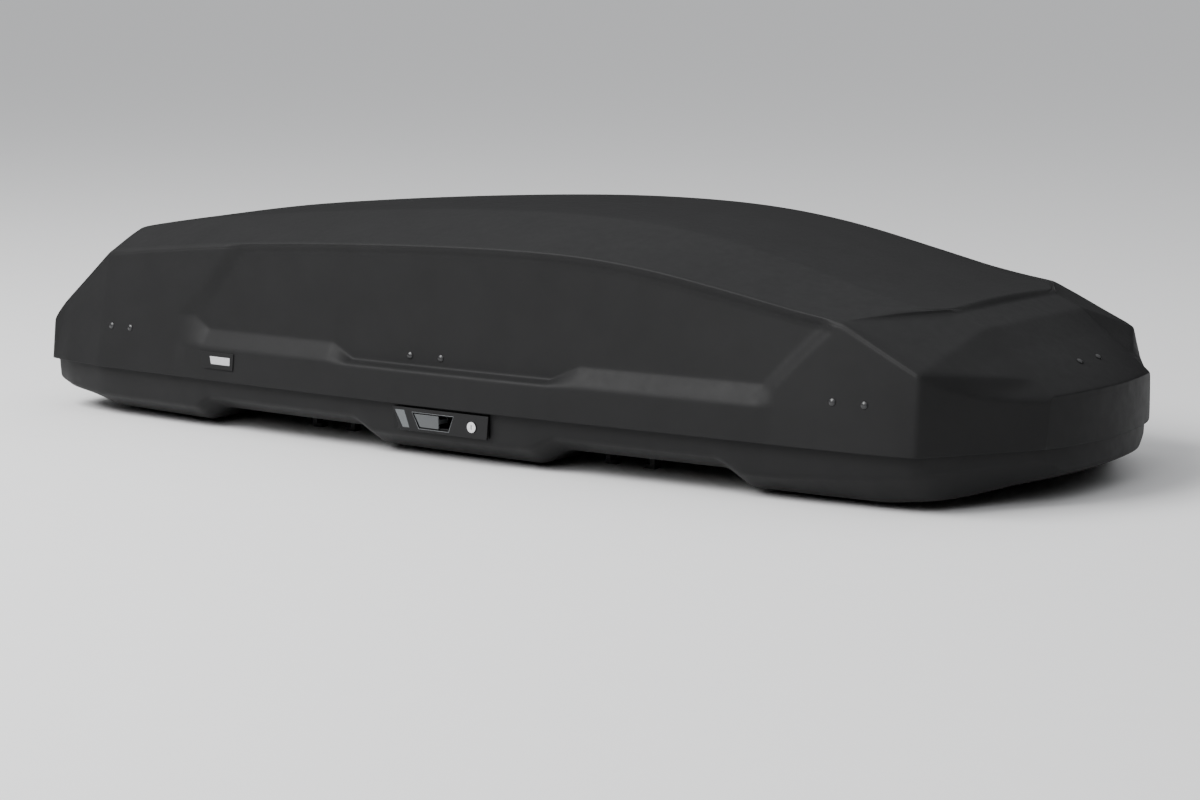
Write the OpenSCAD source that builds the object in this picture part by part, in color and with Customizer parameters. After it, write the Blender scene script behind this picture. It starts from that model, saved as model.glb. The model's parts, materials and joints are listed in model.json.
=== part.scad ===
// Roof cargo box: a long hard-shell car box with a faceted nose, a lid that opens
// from either side, a lock on each side and four quick clamps under the floor.
// +X points to the nose, -Y is the near side, +Z is up. The origin is on the ground,
// under the middle of the box. Stations s run along the box from its tail.

/* [Box] */
// Overall length
box_length = 2130; // [2050:5:2200]
// Overall width, across the widest part of the lid
box_width = 860; // [840:5:880]
// Height of the lid above the seam
lid_height = 333; // [310:1:360]
// Height of the seam above the ground when the box stands on its clamps
seam_z = 100; // [99:1:102]
// Wall thickness of the shells
wall = 4; // [3:0.5:4.5]

/* [Seam] */
// Distance that the lid's skirt hangs below the seam
skirt_drop = 4; // [2:0.5:5]
// Distance that the base stands inside the lid's outline
lip = 9; // [8.5:0.5:10]
// Height of the base's rim above the seam
rim_rise = 8; // [4:1:8]

/* [Lid] */
// Depth of the side panel's recess at its lower edge
panel_depth = 27; // [20:1:32]
// Height of the side band below the recess
band_top = 56; // [50:1:60]
// Height of the step between the top panel and the hood
hood_step = 7; // [4:1:9]
// Forward bow of the nose between its corners
nose_bow = 30; // [20:1:34]

/* [Hinges] */
// Distance from the widest part of the lid to each hinge axis
hinge_inset = 55; // [54:1:57]
// Depth of the hinge axes below the seam
hinge_drop = 28; // [26:1:30]
// Radius of the hinge pins
pin_r = 2.5; // [2:0.1:2.8]
// Running clearance around pins
pin_gap = 0.08; // [0.05:0.01:0.1]

/* [Locks] */
// Travel of the thumb slider and its lock bar
lock_travel = 22; // [18:1:23]
// Radius of the lock cylinder's face
lock_r = 9.5; // [8:0.5:10]

/* [Clamps] */
// Distance between the two crossbars
bar_spacing = 680; // [660:5:700]
// Distance from the centre line to each clamp
clamp_y = 250; // [245:1:255]
// Free width between a clamp's jaws, for the crossbar
jaw_gap = 84; // [80:1:90]

/* [Hidden] */
$fn = 48;

// Feature lines of the shells: [station, value] pairs along the box
S_TAIL = -35;
S_NOSE = 2065;
S_MID = (S_TAIL + S_NOSE + 30) / 2;
NOMINAL_LENGTH = 2130;
NOMINAL_WIDTH = 860;
NOMINAL_HEIGHT = 333;
HALF_PLAN = [[-35, 328], [-10, 372], [45, 388], [150, 406], [270, 412], [600, 424], [920, 430],
    [1140, 428], [1390, 418], [1600, 410], [1745, 405], [1850, 399], [1905, 392], [1940, 384],
    [2065, 186]];
RIDGE_Y = [[-35, 312], [-10, 366], [5, 351], [150, 364], [264, 369], [461, 377], [876, 386],
    [1197, 384], [1416, 374], [1558, 368], [1696, 364], [1790, 366], [1940, 378], [1980, 290],
    [2005, 240], [2030, 180], [2065, 178]];
RIDGE_Z = [[-35, 58], [-10, 74], [5, 104], [150, 214], [264, 227], [461, 247], [660, 260],
    [876, 270], [1050, 275], [1197, 276], [1300, 272], [1416, 260], [1558, 236], [1696, 211],
    [1790, 198], [1940, 128], [1980, 120], [2005, 114], [2030, 105.5], [2065, 79.3]];
TOP_Y = [[-35, 200], [5, 235], [135, 266], [200, 242], [300, 222], [400, 210], [600, 200],
    [1300, 203], [1500, 208], [1880, 214]];
TOP_Z = [[-35, 62], [5, 110], [135, 252], [165, 258], [300, 277], [400, 287], [500, 296],
    [600, 304], [700, 311], [800, 317], [900, 322], [1000, 325.5], [1100, 326.5], [1200, 325],
    [1300, 320], [1400, 309], [1500, 292], [1600, 269], [1700, 243], [1800, 220], [1886, 207]];
HOOD_Y = [[1790, 356], [1886, 177], [1940, 172], [1980, 170], [2030, 167], [2065, 174]];
HOOD_Z = [[1790, 199], [1886, 202], [1940, 180], [1980, 146], [2030, 107.5], [2065, 79.6]];
WEDGE_Y = [[1940, 378], [2000, 282], [2065, 180]];
WEDGE_Z = [[1940, 127], [2000, 92], [2065, 78.5]];
BASE_EDGE_Z = [[-26, -42], [45, -56], [120, -60], [408, -60], [440, -38], [800, -38], [840, -60],
    [1195, -60], [1245, -36], [1570, -36], [1615, -59], [1700, -57], [1900, -39], [2056, -26]];
BASE_FLOOR_Z = [[-26, -46], [20, -60], [76, -72], [146, -87], [408, -90], [440, -63], [800, -63],
    [840, -90], [1195, -92], [1245, -63], [1570, -63], [1615, -91], [1860, -91], [1967, -79],
    [2025, -62], [2056, -46]];

LID_STATIONS = [-35, -22, -10, 5, 45, 100, 135, 165, 215, 264, 310, 355, 372, 388, 430, 462, 480,
    505, 560, 620, 680, 745, 768, 792, 850, 910, 970, 1030, 1090, 1150, 1200, 1234, 1262, 1292,
    1340, 1380, 1420, 1460, 1500, 1540, 1580, 1620, 1652, 1682, 1715, 1752, 1775, 1790, 1815,
    1850, 1886, 1889, 1910, 1940, 1960, 1980, 2005, 2030, 2048, 2065];
BASE_STATIONS = [-26, -10, 10, 45, 76, 120, 150, 210, 270, 340, 408, 440, 500, 600, 700, 800, 840,
    920, 1000, 1080, 1140, 1195, 1245, 1320, 1400, 1480, 1570, 1615, 1660, 1700, 1745, 1800, 1850,
    1900, 1940, 1967, 2000, 2025, 2056];

// Named places worked out from the driving dimensions
HINGE_Y = box_width / 2 - hinge_inset;
HINGE_Z = seam_z - hinge_drop;
RAIL_Y = HINGE_Y - 21.5;
RAIL_T = 3;
HINGE_S = [200, 936, 1800];
STRIKER_S = [195, 980, 1817];
STRIKER_PIN_Z = seam_z + 19;
RIVET_S = [178, 230, 925, 994, 1788, 1846];
RIVET_Z = [75, 75, 79, 79, 73, 73];
ARM_S = [262, 1700];
STRUT_OFFSET = -15;
ARM_TIP = [HINGE_Y - 195, seam_z + 40];
STRUT_FOOT = [HINGE_Y - 75, seam_z - 65];
HANDLE_S = 1010;
HANDLE_Y = box_width / 2 - 4.5;
CLAMP_S = [960 - bar_spacing / 2, 960 + bar_spacing / 2];
TRACK_Z = seam_z - 59;

SHELL_BLACK = [0.16, 0.16, 0.165];
TRIM_BLACK = [0.06, 0.06, 0.065];
STEEL = [0.62, 0.64, 0.66];
GREY = [0.45, 0.47, 0.48];

function x_at(s) = (s - S_MID) * box_length / NOMINAL_LENGTH;
function mix(a, b, t) = a + (b - a) * t;
function ramp(s, a, b) = min(1, max(0, (s - a) / (b - a)));
function ease(s, a, b) = let (t = ramp(s, a, b)) t * t * (3 - 2 * t);
function half_plan(s) = lookup(s, HALF_PLAN) * box_width / NOMINAL_WIDTH;
function ky() = box_width / NOMINAL_WIDTH;
function kz() = lid_height / NOMINAL_HEIGHT;
function bow(s, y) = nose_bow * ease(s, 1880, S_NOSE) * (1 - min(1, pow(y / 190, 2)));
function place(s, p) = [x_at(s) + bow(s, p[0]), p[0], seam_z + p[1]];

// How far the recess has opened at a station, at its lower and upper edges
function recess_low(s) = ramp(s, 355, 388) - ramp(s, 1652, 1682);
function recess_high(s) = ramp(s, 462, 505) - ramp(s, 1752, 1775);
function notch(s) = ramp(s, 745, 792) - ramp(s, 1234, 1292);

// Half of the lid's outer section at a station, from the skirt up to the crown
function lid_half(s) =
    let (nose = s >= 1940, hood = s > 1886.5, front = s > 1790,
        edge = [half_plan(s), -skirt_drop],
        ridge = [lookup(s, RIDGE_Y) * ky(), lookup(s, RIDGE_Z) * kz()],
        wall_top = nose ? [lookup(s, WEDGE_Y) * ky(), lookup(s, WEDGE_Z) * kz()] : ridge,
        low_z = min(band_top, 0.62 * wall_top[1]),
        mid_z = min(mix(88, 61, notch(s)), 0.8 * wall_top[1]),
        high_z = wall_top[1] - min(14, 0.07 * wall_top[1]),
        low_y = mix(mix(edge[0], wall_top[0], low_z / wall_top[1]), edge[0] - 5, recess_low(s)),
        mid_y = mix(mix(edge[0], wall_top[0], mid_z / wall_top[1]), edge[0] - panel_depth,
            recess_low(s)),
        high_y = mix(mix(edge[0], wall_top[0], high_z / wall_top[1]), wall_top[0] - 9,
            recess_high(s)),
        hood_low = [lookup(s, HOOD_Y) * ky(), lookup(s, HOOD_Z) * kz()],
        top_y = lookup(s, TOP_Y) * ky(), top_z = lookup(s, TOP_Z) * kz(),
        crease_low = front ? hood_low : mix(ridge, [top_y, top_z], 0.07),
        crease_high = hood ? crease_low + [-3, 0.7]
            : front ? crease_low + [-3, 1 + (hood_step - 1) * ramp(s, 1790, 1840)]
            : mix(ridge, [top_y, top_z], 0.12),
        top = hood ? [crease_high[0] * 0.6, crease_high[1] + 1.2]
            : [min(top_y, crease_high[0] - 12), max(top_z, crease_high[1] + 0.5)],
        crown = [0, top[1] + (hood ? 1.2 : 6 * ramp(s, S_TAIL, 300))])
    [edge, [low_y, low_z], [mid_y, mid_z], [high_y, high_z],
        nose ? ridge : mix([high_y, high_z], ridge, 0.5) + [1.5 * recess_high(s), 0],
        nose ? mix(ridge, crease_low, 0.4) : ridge,
        crease_low, crease_high, mix(crease_high, top, 0.5) + [0, hood ? 0 : 1.5],
        top, mix(top, crown, 0.5) + [0, hood ? 0 : 1.5], crown];

// Shift from the outer skin to the inner skin at each point of the half section
LID_SHIFT = [[1, 0], [1, 0.6], [0.9, 0.8], [0.9, 0.4], [0.85, 0.6], [0.75, 0.8], [0.5, 0.9],
    [0.4, 1], [0.2, 1], [0.1, 1], [0, 1], [0, 1]];

// Further inset of the base's rim near its ends, where the outline turns in sharply
function end_inset(s) = 7 * (1 - ramp(s, S_TAIL, 80) + ramp(s, 1960, S_NOSE));

// Half of the base's outer section at a station, from the rim down to the middle
function base_half(s) =
    let (rim_y = half_plan(s) - lip - end_inset(s), edge_z = lookup(s, BASE_EDGE_Z),
        floor_z = lookup(s, BASE_FLOOR_Z))
    [[rim_y, rim_rise], [rim_y - 4, edge_z], [rim_y - 48, floor_z], [rim_y / 2, floor_z],
        [0, floor_z]];
BASE_SHIFT = [[1, 0], [1, -0.6], [0.4, -1], [0, -1], [0, -1]];

function inner_half(half, shift) = [for (i = [0:len(half) - 1]) half[i] - wall * shift[i]];
// The edge itself isn't shifted in height, so that the rim stays flat
function flat_edge(inner, outer) = [for (i = [0:len(inner) - 1])
    i == 0 ? [inner[0][0], outer[0][1]] : inner[i]];
function whole(half) = concat([for (p = half) [-p[0], p[1]]],
    [for (i = [len(half) - 2:-1:0]) half[i]]);
function within(s, a, b) = min(b, max(a, s));

function lid_outer(s) = [for (p = whole(lid_half(s))) place(s, p)];
function lid_inner(s0) = let (s = within(s0, S_TAIL + wall, S_NOSE - wall), half = lid_half(s))
    [for (p = whole(flat_edge(inner_half(half, LID_SHIFT), half))) place(s, p)];
function base_outer(s) = [for (p = whole(base_half(s))) place(s, p)];
function base_inner(s0) =
    let (s = within(s0, S_TAIL + lip + wall, S_NOSE - lip - wall), half = base_half(s))
    [for (p = whole(flat_edge(inner_half(half, BASE_SHIFT), half))) place(s, p)];

// A closed shell between two skins of the same grid, with its mouth in one level plane.
// up is true for a lid, whose mouth faces down.
module skin_shell(outer, inner, up) {
    m = len(outer);
    n = len(outer[0]);
    mouth = outer[0][0][2];
    function feet(row) = [for (p = row) [p[0], p[1], mouth]];
    points = concat([for (row = outer) each row], [for (row = inner) each row],
        feet(outer[0]), feet(inner[0]), feet(outer[m - 1]), feet(inner[m - 1]));
    function at(k, i, j) = k * m * n + i * n + j;
    function foot(k, j) = j == 0 || j == n - 1
        ? at(k % 2, k < 2 ? 0 : m - 1, j) : 2 * m * n + k * n + j;
    function quad(a, b, c, d) = [[a, b, c], [a, c, d]];
    function turned(faces) = [for (f = faces) [f[2], f[1], f[0]]];
    function skin(k) = [for (i = [0:m - 2], j = [0:n - 2])
        each quad(at(k, i, j), at(k, i, j + 1), at(k, i + 1, j + 1), at(k, i + 1, j))];
    // An end wall: columns from the profile to the mouth
    function end(k, i) = [for (j = [0:n - 2]) each
        j == 0 ? [[at(k % 2, i, 0), foot(k, 1), at(k % 2, i, 1)]]
        : j == n - 2 ? [[at(k % 2, i, j), foot(k, j), at(k % 2, i, n - 1)]]
        : quad(at(k % 2, i, j), foot(k, j), foot(k, j + 1), at(k % 2, i, j + 1))];
    function edge(j) = [for (i = [0:m - 2]) each
        quad(at(0, i, j), at(0, i + 1, j), at(1, i + 1, j), at(1, i, j))];
    function sill(k) = [for (j = [0:n - 2]) each
        quad(foot(k, j), foot(k + 1, j), foot(k + 1, j + 1), foot(k, j + 1))];
    faces = concat(skin(0), turned(skin(1)), end(0, 0), turned(end(1, 0)),
        turned(end(2, m - 1)), end(3, m - 1), edge(0), turned(edge(n - 1)),
        sill(0), turned(sill(2)));
    polyhedron(points, up ? faces : turned(faces), convexity = 10);
}

// Distance from the centre plane to the lid's side, at a station and a height over the seam
function side_y(s, z) = let (half = lid_half(s))
    z < half[1][1]
    ? mix(half[0][0], half[1][0], (z - half[0][1]) / (half[1][1] - half[0][1]))
    : z < half[2][1]
    ? mix(half[1][0], half[2][0], (z - half[1][1]) / (half[2][1] - half[1][1]))
    : mix(half[2][0], half[3][0], (z - half[2][1]) / (half[3][1] - half[2][1]));

// Children are drawn with +Z along the outward normal of the lid's side at a place
module on_side(s, z, far) {
    step = 6;
    turn = atan((side_y(s + step, z) - side_y(s - step, z)) / (2 * step));
    lean = atan((side_y(s, z + 2) - side_y(s, z - 2)) / 4);
    mirror([0, far ? 1 : 0, 0])
        translate([x_at(s), -side_y(s, z), seam_z + z])
            rotate([0, 0, -turn]) rotate([90 + lean, 0, 0]) children();
}

// Children are drawn with +Z along the outward normal of the hood
HOOD_RIVET_S = 2018;
HOOD_RIVET_Y = 33;
function hood_point(s, y) = let (half = lid_half(s), crown = half[11], top = half[9])
    place(s, [y, mix(crown[1], top[1], abs(y) / top[0])]);
module on_hood(side) {
    a = hood_point(HOOD_RIVET_S - 8, HOOD_RIVET_Y);
    b = hood_point(HOOD_RIVET_S + 8, HOOD_RIVET_Y);
    pitch = atan2(a[2] - b[2], b[0] - a[0]);
    c = hood_point(HOOD_RIVET_S, HOOD_RIVET_Y);
    translate([c[0], side * c[1], c[2]]) rotate([0, pitch, 0]) children();
}

module each_rivet() {
    for (far = [false, true], i = [0:5]) on_side(RIVET_S[i], RIVET_Z[i], far) children();
    for (side = [-1, 1]) on_hood(side) children();
}

module rivet() {
    translate([0, 0, 1]) intersection() {
        translate([0, 0, -7]) sphere(r = 9.2);
        cylinder(r = 6, h = 4);
    }
    cylinder(r = 5.9, h = 1.1);
    translate([0, 0, -9]) cylinder(r = 2.4, h = 9.5);
}

module far_side() mirror([0, 1, 0]) children();

// Extrudes a [y, z] outline along X, centred on a station
module along_x(s, width) translate([x_at(s) - width / 2, 0, 0])
    rotate([90, 0, 90]) linear_extrude(width) children();

// ---- Shells ----
module lid_shell() color(SHELL_BLACK)
    skin_shell([for (s = LID_STATIONS) lid_outer(s)], [for (s = LID_STATIONS) lid_inner(s)], true);

CLAMP_SLOT = [26, 24];
module clamp_slots() for (s = CLAMP_S, side = [-1, 1], leg = [-1, 1])
    translate([x_at(s) + leg * (jaw_gap / 2 + 5) - CLAMP_SLOT[0] / 2,
        side * clamp_y - CLAMP_SLOT[1] / 2, seam_z - 80])
        cube([CLAMP_SLOT[0], CLAMP_SLOT[1], 50]);

HANDLE_POCKET = [200, 30];
module base_shell() color(SHELL_BLACK) resize([0, 0, 0]) difference() {
    skin_shell([for (s = BASE_STATIONS) base_outer(s)], [for (s = BASE_STATIONS) base_inner(s)],
        false);
    clamp_slots();
    for (side = [-1, 1])
        translate([x_at(HANDLE_S + 4) - HANDLE_POCKET[0] / 2 - 1, side * (HANDLE_Y - 10) - 15,
            seam_z - 45]) cube([HANDLE_POCKET[0] + 2, 30, HANDLE_POCKET[1] + 2]);
}

// ---- Mount tracks and clamps ----
module mount_track() color(STEEL) difference() {
    along_x(1007.5, 1125) translate([clamp_y, 0]) polygon([[-20, TRACK_Z + 0.4],
        [20, TRACK_Z + 0.4], [20, TRACK_Z + 6], [17.5, TRACK_Z + 6], [17.5, TRACK_Z + 2.9],
        [-17.5, TRACK_Z + 2.9], [-17.5, TRACK_Z + 6], [-20, TRACK_Z + 6]]);
    far_side() clamp_slots();
}
module near_mount_track() far_side() mount_track();
module far_mount_track() mount_track();

HOUSING = [128, 48, 44];
module clamp_housing() difference() {
    translate([-HOUSING[0] / 2, -HOUSING[1] / 2, 0]) cube(HOUSING);
    translate([-HOUSING[0] / 2 + 3, -HOUSING[1] / 2 + 3, -1])
        cube([HOUSING[0] - 6, HOUSING[1] - 6, HOUSING[2] - 3]);
    cylinder(r = 5, h = 60);
}
module clamp_housings() color(TRIM_BLACK) for (s = CLAMP_S, side = [-1, 1])
    translate([x_at(s), side * clamp_y, TRACK_Z + 6.3]) clamp_housing();

// A jaw: two legs through the floor with inward hooks, joined by a plate inside
module jaw_at(s, side) color(TRIM_BLACK) translate([x_at(s), side * clamp_y, 0])
    difference() {
        union() {
            for (leg = [-1, 1]) translate([leg * (jaw_gap / 2 + 5), 0, 0]) {
                translate([-5, -9, 0]) cube([10, 18, seam_z - 26]);
                translate([leg > 0 ? -17 : -3, -9, 0]) cube([20, 18, 7]);
            }
            translate([-jaw_gap / 2 - 10, -13, seam_z - 32]) cube([jaw_gap + 20, 26, 6]);
        }
        translate([0, 0, seam_z - 40]) cylinder(r = 4.3, h = 20);
    }
module rear_near_jaw() jaw_at(CLAMP_S[0], -1);
module rear_far_jaw() jaw_at(CLAMP_S[0], 1);
module front_near_jaw() jaw_at(CLAMP_S[1], -1);
module front_far_jaw() jaw_at(CLAMP_S[1], 1);

module knob_at(s, side) color(TRIM_BLACK)
    translate([x_at(s), side * clamp_y, TRACK_Z + 6.3 + HOUSING[2] + 0.3]) {
        cylinder(r = 21, h = 14);
        for (a = [0:60:300]) rotate([0, 0, a]) translate([20, 0, 0]) cylinder(r = 6, h = 14);
        translate([0, 0, -40]) cylinder(r = 4, h = 40.5);
    }
module rear_near_knob() knob_at(CLAMP_S[0], -1);
module rear_far_knob() knob_at(CLAMP_S[0], 1);
module front_near_knob() knob_at(CLAMP_S[1], -1);
module front_far_knob() knob_at(CLAMP_S[1], 1);

// ---- Hinges, drawn on the far side ----
EAR_R = 5.5;
module hinge_brackets() color(STEEL) for (s = HINGE_S) difference() {
    union() {
        for (side = [-1, 1]) along_x(s + side * 16, 5) union() {
            translate([HINGE_Y, HINGE_Z]) circle(r = EAR_R);
            translate([HINGE_Y - 3, HINGE_Z - 14]) square([7, 14]);
        }
        along_x(s, 37) translate([HINGE_Y - 3, HINGE_Z - 16]) square([7, 4]);
    }
    translate([x_at(s) - 30, HINGE_Y, HINGE_Z]) rotate([0, 90, 0])
        cylinder(r = pin_r + pin_gap, h = 60);
}
module hinge_pins() color(STEEL) for (s = HINGE_S)
    translate([x_at(s) - 22, HINGE_Y, HINGE_Z]) rotate([0, 90, 0]) {
        cylinder(r = pin_r, h = 44);
        translate([0, 0, -2]) cylinder(r = 4, h = 2.2);
    }

RAIL_LOW = seam_z - 14;
RAIL_HIGH = seam_z + 27;
module hinge_rail() color(STEEL) difference() {
    union() {
        translate([x_at(160), RAIL_Y, RAIL_LOW])
            cube([x_at(1840) - x_at(160), RAIL_T, RAIL_HIGH - RAIL_LOW]);
        for (s = HINGE_S) along_x(s, 24) union() {
            translate([HINGE_Y, HINGE_Z]) circle(r = EAR_R);
            polygon([[RAIL_Y, RAIL_LOW + 6], [RAIL_Y + RAIL_T, RAIL_LOW + 6],
                [HINGE_Y + 1, HINGE_Z + 5], [HINGE_Y - 5, HINGE_Z - 1], [RAIL_Y, RAIL_LOW - 3]]);
        }
        for (s = ARM_S) along_x(s, 6) polygon([[RAIL_Y + RAIL_T, RAIL_HIGH - 16],
            [RAIL_Y + RAIL_T, RAIL_HIGH], [RAIL_Y - 6, RAIL_HIGH + 19],
            [ARM_TIP[0] - 8, ARM_TIP[1] + 8], [ARM_TIP[0] - 8, ARM_TIP[1] - 8],
            [RAIL_Y - 12, RAIL_HIGH + 2]]);
        for (s = ARM_S) translate([x_at(s) - 9, ARM_TIP[0], ARM_TIP[1]]) rotate([0, 90, 0])
            cylinder(r = 3, h = 8);
    }
    for (s = HINGE_S) translate([x_at(s) - 20, HINGE_Y, HINGE_Z]) rotate([0, 90, 0])
        cylinder(r = pin_r + pin_gap, h = 40);
}

// ---- Locks, drawn on the far side ----
BAR_Y = RAIL_Y - 4;
BAR_T = 3;
BAR_Z = seam_z - 2;
BAR_H = 12;
FORK_S = HANDLE_S - 7;
module hook_at(s) translate([x_at(s), BAR_Y, 0]) rotate([90, 0, 0])
    translate([0, 0, -BAR_T]) linear_extrude(BAR_T) polygon([[-lock_travel - 24, BAR_Z + 1],
        [-lock_travel - 7, BAR_Z + 1], [-lock_travel - 7, STRIKER_PIN_Z + 4],
        [-5, STRIKER_PIN_Z + 4], [-5, STRIKER_PIN_Z + 9], [-9, STRIKER_PIN_Z + 12],
        [-lock_travel - 18, STRIKER_PIN_Z + 12]]);
module lock_bar() color(STEEL) union() {
    translate([x_at(166), BAR_Y, BAR_Z]) cube([x_at(1822) - x_at(166), BAR_T, BAR_H]);
    for (s = STRIKER_S) hook_at(s);
    for (side = [-1, 1]) translate([x_at(FORK_S) + side * 6.5 - 3, BAR_Y, seam_z - 26])
        cube([6, BAR_T, 26]);
}

// Strikers: a riveted shelf inside the lid carries a short pin for each hook
SHELF_Z = seam_z + 38;
module striker(s, s_plate, wide) {
    wall_y = min(side_y(s_plate - wide / 2, 72), side_y(s_plate + wide / 2, 72)) - wall - 3;
    union() {
        translate([x_at(s_plate) - wide / 2, wall_y - 3, SHELF_Z]) cube([wide, 3, 46]);
        translate([x_at(s_plate) - wide / 2, BAR_Y - 12, SHELF_Z])
            cube([wide, wall_y - BAR_Y + 11, 4]);
        translate([x_at(s) - 5, BAR_Y - 10, STRIKER_PIN_Z - 5])
            cube([10, 4, SHELF_Z - STRIKER_PIN_Z + 7]);
        translate([x_at(s), BAR_Y - 7, STRIKER_PIN_Z]) rotate([-90, 0, 0]) cylinder(r = 3, h = 10);
    }
}
module strikers() color(STEEL) difference() {
    union() {
        striker(STRIKER_S[0], 195, 84);
        striker(STRIKER_S[1], 967, 96);
        striker(STRIKER_S[2], 1817, 84);
    }
    for (i = [0:5]) on_side(RIVET_S[i], RIVET_Z[i], true) translate([0, 0, -30])
        cylinder(r = 2.6, h = 40);
}

// ---- Gas struts, drawn on the far side: y and z of the foot and of the upper end ----
STRUT_RUN = ARM_TIP - STRUT_FOOT;
STRUT_LENGTH = norm(STRUT_RUN);
// Children are drawn with +Z along the strut, from its foot
module on_strut(s) translate([x_at(s + STRUT_OFFSET), STRUT_FOOT[0], STRUT_FOOT[1]])
    rotate([atan2(-STRUT_RUN[0], STRUT_RUN[1]), 0, 0]) children();
module strut_tubes() color(TRIM_BLACK) for (s = ARM_S) on_strut(s) difference() {
    union() {
        translate([0, 0, 14]) cylinder(r = 9, h = 114);
        rotate([0, 90, 0]) translate([0, 0, -4]) cylinder(r = 7, h = 8);
        translate([-4, -5, 0]) cube([8, 10, 16]);
    }
    translate([0, 0, 36]) cylinder(r = 4.3, h = 100);
    rotate([0, 90, 0]) translate([0, 0, -5]) cylinder(r = 3.08, h = 10);
}
module strut_rods() color(STEEL) for (s = ARM_S) on_strut(s) difference() {
    union() {
        translate([0, 0, 40]) cylinder(r = 3.9, h = STRUT_LENGTH - 44.5);
        translate([0, 0, STRUT_LENGTH]) rotate([0, 90, 0]) translate([0, 0, -4])
            cylinder(r = 7, h = 8);
    }
    translate([0, 0, STRUT_LENGTH]) rotate([0, 90, 0]) translate([0, 0, -5])
        cylinder(r = 3.3, h = 10);
}
// Feet: a bracket on the floor with a pin through the tube's eye
module strut_feet() color(STEEL) for (s = ARM_S)
    translate([x_at(s + STRUT_OFFSET), STRUT_FOOT[0], STRUT_FOOT[1]]) {
        for (side = [-1, 1]) translate([side * 7 - 1.5, -8, -17]) cube([3, 16, 24]);
        translate([-8.5, -12, -19]) cube([17, 24, 3]);
        rotate([0, 90, 0]) translate([0, 0, -9.5]) cylinder(r = 3, h = 19);
    }

// ---- Handle, drawn on the near side: outlines in station and height over the seam ----
module handle_outline(points) polygon([for (p = points) [x_at(p[0]), seam_z + p[1]]]);
// Extrudes an outline outward: back is the distance of its back face from the centre plane
module outward(back, depth) translate([0, -back, 0]) rotate([90, 0, 0])
    linear_extrude(depth) children();
PLATE = [[904, -9], [1119, -9], [1115, -50], [922, -50]];
SLIDER_WINDOW = [[950, -17], [1042, -17], [1031, -44], [965, -44]];
SLIDER = [[952.5, -19], [1030 - lock_travel, -19], [1030 - lock_travel, -42], [966, -42]];
LENS = [[909, -14], [931, -14], [943, -45], [927, -45]];
LOCK_S = 1082;
LOCK_Z = seam_z - 31;
PLATE_T = 4;
module handle_housing() color(TRIM_BLACK) difference() {
    union() {
        outward(HANDLE_Y - PLATE_T, PLATE_T) handle_outline(PLATE);
        translate([x_at(HANDLE_S + 4) - HANDLE_POCKET[0] / 2, -HANDLE_Y + PLATE_T - 1,
            seam_z - 44]) cube([HANDLE_POCKET[0], 19, HANDLE_POCKET[1]]);
    }
    // the hollow behind the plate, open to the inside
    translate([x_at(946), -HANDLE_Y + PLATE_T + 1.5, seam_z - 41])
        cube([x_at(1050) - x_at(946), 20, HANDLE_POCKET[1] - 6]);
    outward(HANDLE_Y - PLATE_T - 2, PLATE_T + 4) handle_outline(SLIDER_WINDOW);
    outward(HANDLE_Y - 2, 4) handle_outline(LENS);
    translate([x_at(LOCK_S), -HANDLE_Y - 2, LOCK_Z]) rotate([-90, 0, 0])
        cylinder(r = lock_r + 0.1, h = 5);
    translate([x_at(LOCK_S), -HANDLE_Y - 1, LOCK_Z]) rotate([-90, 0, 0])
        cylinder(r = 7.1, h = 30);
}
module reflector() color(GREY) outward(HANDLE_Y - 1.9, 1.6) offset(delta = -0.2)
    handle_outline(LENS);
module thumb_slider() color(GREY) union() {
    outward(HANDLE_Y - PLATE_T, PLATE_T - 0.8) handle_outline(SLIDER);
    // stem through the housing, with a finger that meets the lock bar's fork
    translate([x_at(FORK_S) - 28, -HANDLE_Y + PLATE_T - 0.5, seam_z - 34]) cube([32, 27, 8]);
    translate([x_at(FORK_S) - 2.5, -HANDLE_Y + PLATE_T + 22, seam_z - 28])
        cube([5, HANDLE_Y - PLATE_T - 22 - BAR_Y + 2, 5]);
}
module lock_cylinder() color([0.85, 0.85, 0.86]) translate([x_at(LOCK_S), -HANDLE_Y, LOCK_Z])
    rotate([-90, 0, 0]) difference() {
        union() {
            translate([0, 0, -0.6]) cylinder(r = lock_r, h = 3);
            cylinder(r = 7, h = 27);
            translate([-4, -16, 25]) cube([8, 18, 3]);
        }
        translate([-1, -4, -2]) cube([2, 8, 6]);
    }

// ---- Trim and lid stiffeners ----
module badge_plate(far) color(GREY) on_side(473, 34, far) translate([0, 0, 0.3])
    linear_extrude(2) polygon([[-45, 15.5], [45, 15.5], [44, -15.5], [-32, -15.5]]);

module bow_outline(s) {
    half = lid_half(s);
    gap = wall + 4;
    upper = [for (i = [5:11]) half[i] - [gap * 1.3 * (11 - i) / 6, gap]];
    lower = [for (p = upper) p - [p[0] / 60, 8]];
    full = concat([for (p = upper) [-p[0], p[1]]], [for (i = [5:-1:0]) upper[i]],
        lower, [for (i = [5:-1:0]) [-lower[i][0], lower[i][1]]]);
    translate([0, seam_z]) polygon(full);
}
module lid_bows() color(STEEL) for (s = [620, 1210]) along_x(s, 22) bow_outline(s);

module nose_bracket() color(STEEL) {
    c = hood_point(HOOD_RIVET_S, 0);
    a = hood_point(HOOD_RIVET_S - 8, HOOD_RIVET_Y);
    b = hood_point(HOOD_RIVET_S + 8, HOOD_RIVET_Y);
    difference() {
        translate([c[0], 0, c[2]]) rotate([0, atan2(a[2] - b[2], b[0] - a[0]), 0])
            translate([-13, -55, -wall - 5]) cube([26, 110, 2.5]);
        for (side = [-1, 1]) on_hood(side) translate([0, 0, -20]) cylinder(r = 2.6, h = 30);
    }
}
module lid_rivets() color(TRIM_BLACK) each_rivet() rivet();

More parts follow.
